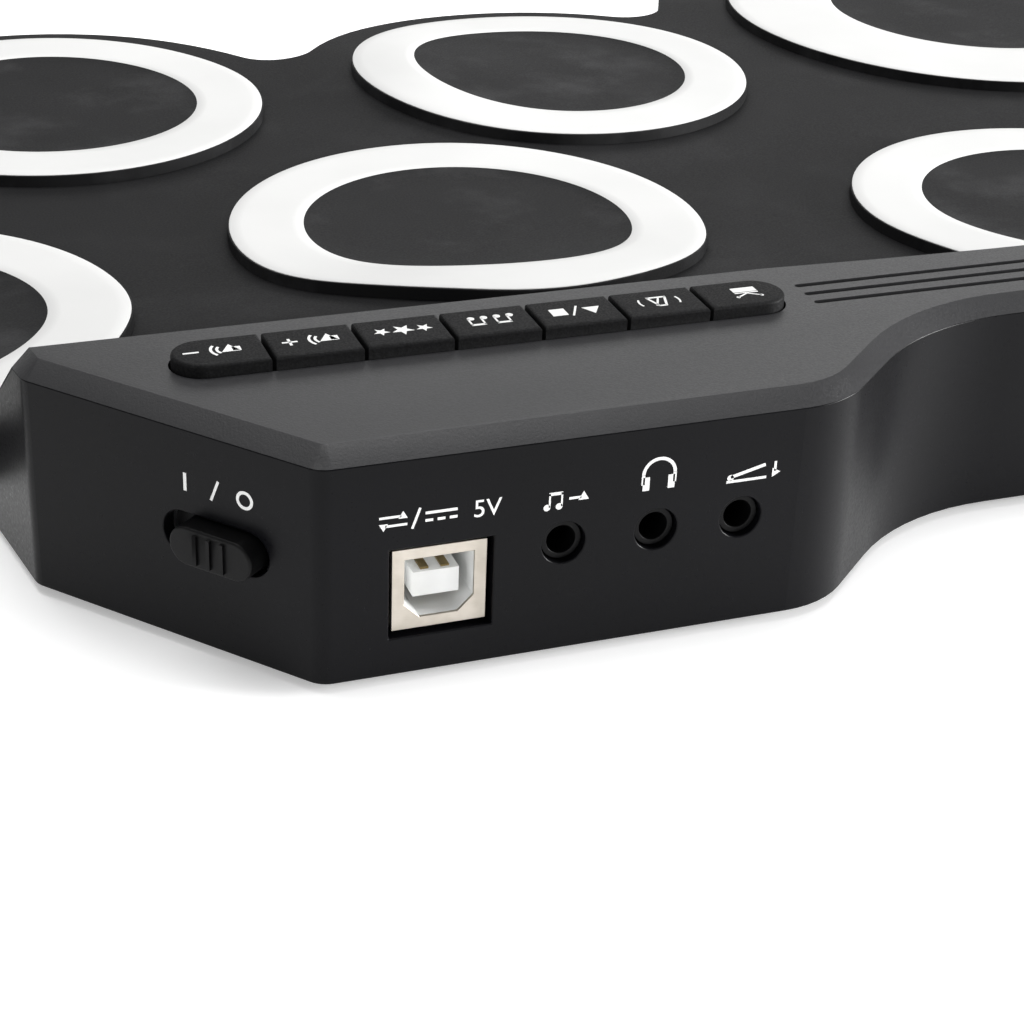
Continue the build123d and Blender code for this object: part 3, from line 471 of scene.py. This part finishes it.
def along(start, end, step=2.2 * MM):
    """Points from start up to, but not including, end."""
    start, end = Vector(start), Vector(end)
    count = max(1, round((end - start).length / step))
    return [start.lerp(end, i / count) for i in range(count)]


def turned(profile, middle, closed):
    """A profile of (radius, height) points spun about an upright axis, then lifted with the mat."""
    shape = bmesh.new()
    line = [shape.verts.new((r, 0.0, z)) for r, z in profile]
    for first, second in zip(line, line[1:] + (line[:1] if closed else [])):
        shape.edges.new((first, second))
    bmesh.ops.spin(shape, geom=shape.verts[:] + shape.edges[:], cent=(0, 0, 0), axis=(0, 0, 1),
                   angle=math.tau, steps=TURN_STEPS, use_merge=True)
    bmesh.ops.remove_doubles(shape, verts=shape.verts, dist=0.002 * MM)
    bmesh.ops.translate(shape, verts=shape.verts, vec=(middle.x, middle.y, 0.0))
    bmesh.ops.recalc_face_normals(shape, faces=shape.faces)
    for vert in shape.verts:
        vert.co.z += lift(vert.co.x, vert.co.y)
    return shape


def inner_radius(node):
    """The ring's hole, read from the node's own points."""
    low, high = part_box(node)
    middle = (low + high) / 2
    return min(math.hypot(v.co.x - middle.x, v.co.y - middle.y) for v in nodes[node].data.vertices)


for node in sorted(n for n in nodes if n.startswith("pad_ring_")):
    name = node[len("pad_ring_"):]
    low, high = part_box(node)
    middle, outer, inner, top = (low + high) / 2, (high.x - low.x) / 2, inner_radius(node), high.z
    pad_low, pad_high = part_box("pad_" + name)
    rim = (pad_high.x - pad_low.x) / 2
    seat = top - RING_DEEP
    shoulder = top - 0.35 * RING_DEEP
    dish = top - PAD_DISH
    edge_across, edge_down = RING_HOLE_ROUND
    pad_line = (along((0, pad_low.z), (rim, pad_low.z)) + along((rim, pad_low.z), (rim, shoulder))
                + [Vector((rim, shoulder)), Vector((rim - RIM_ROUND, shoulder + RIM_ROUND)),
                   Vector((outer, shoulder + RIM_ROUND)), Vector((outer, seat))]
                + along((outer, seat), (inner, seat))[1:]
                + [Vector((inner, seat)), Vector((inner, top - edge_down)),
                   Vector((inner - DISH_EDGE[0], top - DISH_EDGE[1])),
                   Vector((inner - DISH_HALFWAY[0], top - DISH_HALFWAY[1]))]
                + along((inner - DISH_FLAT, dish), (0, dish)) + [Vector((0, dish))])
    make_piece(f"pad_{name}_turned", turned(pad_line, middle, False), pad_silicone, CONSOLE, ["pad_" + name])
    ring_line = (along((inner, seat), (outer, seat))
                 + [Vector((outer, seat)), Vector((outer, top - RING_ROUND)),
                    Vector((outer - 0.3 * RING_ROUND, top - 0.3 * RING_ROUND)),
                    Vector((outer - RING_ROUND, top))]
                 + along((outer - RING_ROUND, top), (inner + edge_across, top))[1:]
                 + [Vector((inner + edge_across, top)), Vector((inner, top - edge_down))])
    make_piece(f"ring_{name}_turned", turned(ring_line, middle, True), ring_silicone, CONSOLE, [node])
    print(name, "ring", round(outer / MM, 1), "to", round(inner / MM, 1), "mm")

# %% [markdown]
# ## Printed symbols
# The console carries pad-printed marks in white. They are drawn here as plain pictograms, each
# from a few flat strokes: bars, dots, arcs and triangles in millimetres, read from left to right.
# A Solidify modifier gives the ink its thickness, and each mark lies just above its face.

# %% Strokes
INK_THICK = 0.03 * MM


def bar(shape, x, y, width, height, turn=0.0):
    """A straight stroke, turned by some degrees."""
    place = Matrix.Translation((x, y, 0)) @ Matrix.Rotation(math.radians(turn), 4, "Z")
    size = Matrix.Diagonal((width / 2, height / 2, 1.0, 1.0))
    bmesh.ops.create_grid(shape, x_segments=1, y_segments=1, size=1.0, matrix=place @ size)


def dot(shape, x, y, radius, sides=28, turn=0.0):
    """A filled disc, or a triangle with three sides."""
    place = Matrix.Translation((x, y, 0)) @ Matrix.Rotation(math.radians(turn), 4, "Z")
    bmesh.ops.create_circle(shape, cap_ends=True, segments=sides, radius=radius, matrix=place)


def arc(shape, x, y, radius, width, start, sweep):
    """Part of a ring, from start through sweep, in degrees."""
    a = math.radians(start)
    ends = [shape.verts.new((x + r * math.cos(a), y + r * math.sin(a), 0)) for r in (radius - width / 2,
                                                                                  radius + width / 2)]
    edge = shape.edges.new(ends)
    bmesh.ops.spin(shape, geom=ends + [edge], cent=(x, y, 0), axis=(0, 0, 1), angle=math.radians(sweep),
                   steps=max(4, round(sweep / 9)), use_merge=sweep >= 360)


def star(shape, x, y, radius):
    """Five points: a ten-sided disc with every other corner drawn in."""
    made = bmesh.ops.create_circle(shape, cap_ends=True, segments=10, radius=radius)["verts"]
    bmesh.ops.scale(shape, verts=made[1::2], vec=(0.42, 0.42, 1.0))
    bmesh.ops.translate(shape, verts=made, vec=(x, y, 0))


def note(shape, x, y):
    """Two quavers joined by a beam."""
    for side in (-0.75, 0.75):
        dot(shape, x + side - 0.32, y - 0.85, 0.42)
        bar(shape, x + side, y + 0.05, 0.22, 1.8)
    bar(shape, x, y + 0.85, 1.72, 0.4)


def speaker(shape, x, y):
    """A loudspeaker with two sound waves."""
    bar(shape, x - 1.1, y, 0.9, 1.0)
    dot(shape, x - 0.45, y, 1.2, 3, 180)
    arc(shape, x - 0.2, y, 1.2, 0.3, -40, 80)
    arc(shape, x - 0.2, y, 1.85, 0.3, -40, 80)


print("strokes ready")


# %% Marks
def mark_volume_up(s):
    speaker(s, -1.3, 0.0)
    bar(s, 2.5, 0.0, 1.7, 0.3)
    bar(s, 2.5, 0.0, 0.3, 1.7)


def mark_volume_down(s):
    speaker(s, -1.3, 0.0)
    bar(s, 2.5, 0.0, 1.7, 0.3)


def mark_special(s):
    for x, radius in ((-2.4, 0.95), (0.0, 1.3), (2.4, 0.95)):
        star(s, x, 0.0, radius)


def mark_demo(s):
    note(s, -1.4, 0.0)
    note(s, 1.6, 0.0)


def mark_play_stop(s):
    dot(s, -1.9, 0.0, 1.2, 3)
    bar(s, 0.15, 0.0, 0.24, 2.7, -25)
    bar(s, 2.1, 0.0, 1.8, 1.8)


def mark_click(s):
    bar(s, -0.75, 0.0, 0.28, 2.5, -16)
    bar(s, 0.75, 0.0, 0.28, 2.5, 16)
    bar(s, 0.0, -1.15, 2.4, 0.32)
    bar(s, 0.0, 1.15, 0.95, 0.3)
    bar(s, 0.25, 0.1, 0.24, 2.2, -24)
    for x in (-2.1, 2.1):
        arc(s, x * 0.2, 0.0, 2.0, 0.22, 155 if x < 0 else -25, 50)


def mark_kit(s):
    bar(s, 0.0, -0.65, 2.9, 1.15)
    bar(s, 0.0, 0.2, 2.9, 0.22)
    for side in (-1, 1):
        bar(s, side * 0.75, 0.85, 1.7, 0.2, side * 32)
        dot(s, side * 1.45, 1.28, 0.24, 14)


def mark_power_data(s):
    """Two arrows for data, a slash, and a line over dashes for direct current."""
    for y, way in ((0.55, 1), (-0.55, -1)):
        bar(s, -5.6 - 0.35 * way, y, 2.6, 0.3)
        dot(s, -5.6 + 1.15 * way, y, 0.62, 3, 0 if way > 0 else 180)
    bar(s, -2.9, 0.0, 0.3, 2.7, -20)
    bar(s, 0.1, 0.5, 3.8, 0.34)
    for x in (-1.35, 0.1, 1.55):
        bar(s, x, -0.45, 0.92, 0.34)


def mark_audio_in(s):
    note(s, -1.35, 0.0)
    bar(s, 1.05, 0.0, 1.5, 0.32)
    dot(s, 2.1, 0.0, 0.75, 3)


def mark_headphone(s):
    arc(s, 0.0, 0.1, 2.0, 0.42, 0, 180)
    for side in (-1, 1):
        bar(s, side * 2.0, -0.5, 0.42, 1.3)
        bar(s, side * 1.6, -1.05, 0.85, 1.75)


def mark_pedal(s):
    bar(s, 0.0, -1.0, 5.2, 0.34)
    bar(s, 0.15, 0.15, 4.6, 0.42, 14)
    dot(s, -2.1, -0.5, 0.42)
    bar(s, 3.7, 0.3, 0.32, 1.3)
    dot(s, 3.7, -0.5, 0.7, 3, -90)


def mark_switch(s):
    bar(s, -4.2, 0.0, 0.44, 2.3)
    bar(s, 0.0, 0.0, 0.34, 2.9, -22)
    arc(s, 4.2, 0.0, 0.98, 0.4, 0, 360)


def numeral(shape, words, x, y, height):
    """A number and its unit in the built-in typeface, added to a mark."""
    curve = bpy.data.curves.new("numeral", "FONT")
    curve.body, curve.size, curve.align_x, curve.align_y = words, height / 0.73, "CENTER", "CENTER"
    holder = bpy.data.objects.new("numeral", curve)
    bpy.context.scene.collection.objects.link(holder)
    mesh = bpy.data.meshes.new_from_object(holder.evaluated_get(bpy.context.evaluated_depsgraph_get()))
    mesh.transform(Matrix.Translation((x, y, 0)))
    shape.from_mesh(mesh)
    bpy.data.objects.remove(holder)
    bpy.data.curves.remove(curve)
    bpy.data.meshes.remove(mesh)


def print_mark(name, draw, place, right, up, body, scale=1.0):
    """Draws a mark in millimetres and lays it on a face given by two directions on it."""
    shape = bmesh.new()
    draw(shape)
    bmesh.ops.remove_doubles(shape, verts=shape.verts, dist=0.001)
    right, up = Vector(right).normalized(), Vector(up).normalized()
    out = right.cross(up)
    turn = Matrix((right, up, out)).transposed().to_4x4()
    for face in shape.faces:
        face.normal_update()
        if face.normal.z < 0:
            face.normal_flip()
    bmesh.ops.transform(shape, matrix=Matrix.Translation(Vector(place) + out * 1.2 * INK_THICK) @ turn
                        @ Matrix.Scale(scale * MM, 4), verts=shape.verts)
    piece = make_piece("print_" + name, shape, ink, body, smooth=False)
    coat = piece.modifiers.new("ink", "SOLIDIFY")
    coat.thickness = INK_THICK
    coat.offset = -1.0
    return piece


KEY_MARKS = {"kit": mark_kit, "click": mark_click, "play_stop": mark_play_stop, "demo": mark_demo,
             "special": mark_special, "volume_up": mark_volume_up, "volume_down": mark_volume_down}
KEY_MARK_SCALE = 1.12
for name, draw in KEY_MARKS.items():
    low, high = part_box("key_" + name)
    middle = (low + high) / 2
    print_mark(name, draw, (middle.x, middle.y, high.z), (1, 0, 0), (0, 1, 0), "key_" + name,
               KEY_MARK_SCALE)

REAR_MARKS = {"power_data": (mark_power_data, 110.8, 21.6), "audio_in": (mark_audio_in, 95.5, 21.4),
              "headphone": (mark_headphone, 84.0, 22.9), "pedal": (mark_pedal, 72.6, 21.6)}
VOLTS_PLACE = (105.2 * MM, REAR, 21.6 * MM)
VOLTS_HEIGHT = 2.3
for name, (draw, x, z) in REAR_MARKS.items():
    print_mark(name, draw, (x * MM, REAR, z * MM), (-1, 0, 0), (0, 0, 1), CONSOLE)
print_mark("volts", lambda s: numeral(s, "5V", 0.0, 0.0, VOLTS_HEIGHT), VOLTS_PLACE, (-1, 0, 0),
           (0, 0, 1), CONSOLE)
print("marks", len(KEY_MARKS) + len(REAR_MARKS) + 1)

# %% [markdown]
# ## The switch's mark
# The switch is on a face turned 50 degrees from the rear. The direction in which its knob slides
# lies in that face, so the mark takes its own directions from the joint, and needs no new angle.

# %% The switch's mark
slide = next(j for j in frame["record"]["behaviour"]["joints"] if j["name"] == "power_switch_slide")
forward = Vector(slide["axis"]).normalized()
face_out = Vector((-forward.y, forward.x, 0.0))
corner = Vector((0.1249, REAR, 0.0))         # where the rear wall meets the switch's face
SWITCH_MARK = (14.45 * MM, 22.45 * MM)       # along the face, and up
print_mark("switch", mark_switch, corner + forward * SWITCH_MARK[0] + Vector((0, 0, SWITCH_MARK[1])),
           -forward, (0, 0, 1), CONSOLE)
print("switch face looks toward", [round(v, 2) for v in face_out])

# %% [markdown]
# ## Floor and light
# A white floor runs out of view on every side. One large soft light hangs overhead, a second in
# front gives the lid its sheen toward the left end, and two small ones at the sides draw
# the soft highlights on the shell's rounded corners. The world is a dim grey fill. The floor's
# paper glows a little, as a lit table does, which keeps the shadow beside the console light.

# %% Floor and light
FLOOR_HALF = 8.0
ground = bmesh.new()
bmesh.ops.create_grid(ground, x_segments=1, y_segments=1, size=FLOOR_HALF)
floor_mesh = bpy.data.meshes.new("floor")
ground.to_mesh(floor_mesh)
ground.free()
floor = bpy.data.objects.new("floor", floor_mesh)
bpy.context.scene.collection.objects.link(floor)
floor_paper, floor_tree, floor_shader, floor_place = new_material("white_paper", Roughness=0.9,
                                                                 Specular_IOR_Level=0.1)
floor_tree.links.new(blend_colours(floor_tree, cloud(floor_tree, floor_place, 400.0), colour("#f6f6f6"),
                                   colour("#fafafa")), floor_shader.inputs["Base Color"])
floor_shader.inputs["Emission Color"].default_value = colour("#ffffff")
floor_shader.inputs["Emission Strength"].default_value = 0.3
floor_mesh.materials.append(floor_paper)
floor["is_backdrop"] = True


def soft_light(name, place, target, width, height, watts):
    light = bpy.data.lights.new(name, "AREA")
    light.shape, light.size, light.size_y, light.energy = "RECTANGLE", width, height, watts
    lamp = bpy.data.objects.new(name, light)
    lamp.location = place
    lamp.rotation_euler = (Vector(target) - Vector(place)).to_track_quat("-Z", "Y").to_euler()
    bpy.context.scene.collection.objects.link(lamp)


MIDDLE = Vector((0.08, 0.08, 0.0))
soft_light("overhead", (0.0, -0.3, 1.7), MIDDLE, 1.6, 1.2, 28)
soft_light("front", (-0.75, -1.5, 0.75), MIDDLE, 1.3, 0.6, 3.4)
soft_light("right_strip", (-1.3, 0.55, 0.25), MIDDLE, 0.5, 0.4, 38)
soft_light("left_strip", (1.2, 1.0, 0.5), MIDDLE, 0.6, 0.5, 3)
world = bpy.data.worlds.new("studio")
world.use_nodes = True
world.node_tree.nodes["Background"].inputs["Color"].default_value = colour("#ffffff")
world.node_tree.nodes["Background"].inputs["Strength"].default_value = 0.36
bpy.context.scene.world = world

# %% [markdown]
# ## Camera
# The camera stands behind the console's right end and looks down across the keys and the mat. Its
# turn is given by three angles: where it heads, how far it looks down, and a slight roll.

# %% Camera
CAMERA_PLACE = Vector((0.1812, 0.3578, 0.1388))
HEADING = 158.998        # from straight ahead, turned left, in degrees
LOOK_DOWN = 28.187
ROLL = 2.271
camera_data = bpy.data.cameras.new("camera")
camera_data.sensor_width = 36.0
camera_data.lens = 76.87
camera_data.clip_start = 0.01
camera = bpy.data.objects.new("camera", camera_data)
camera.matrix_world = (Matrix.Translation(CAMERA_PLACE) @ Matrix.Rotation(math.radians(HEADING), 4, "Z")
                       @ Matrix.Rotation(math.radians(90.0 - LOOK_DOWN), 4, "X")
                       @ Matrix.Rotation(math.radians(ROLL), 4, "Z"))
bpy.context.scene.collection.objects.link(camera)
bpy.context.scene.camera = camera
bpy.context.scene.view_settings.view_transform = "Standard"
print("camera axes", [[round(v, 5) for v in row] for row in camera.matrix_world.to_3x3().transposed()])

# %% Measure and finish
low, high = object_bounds()
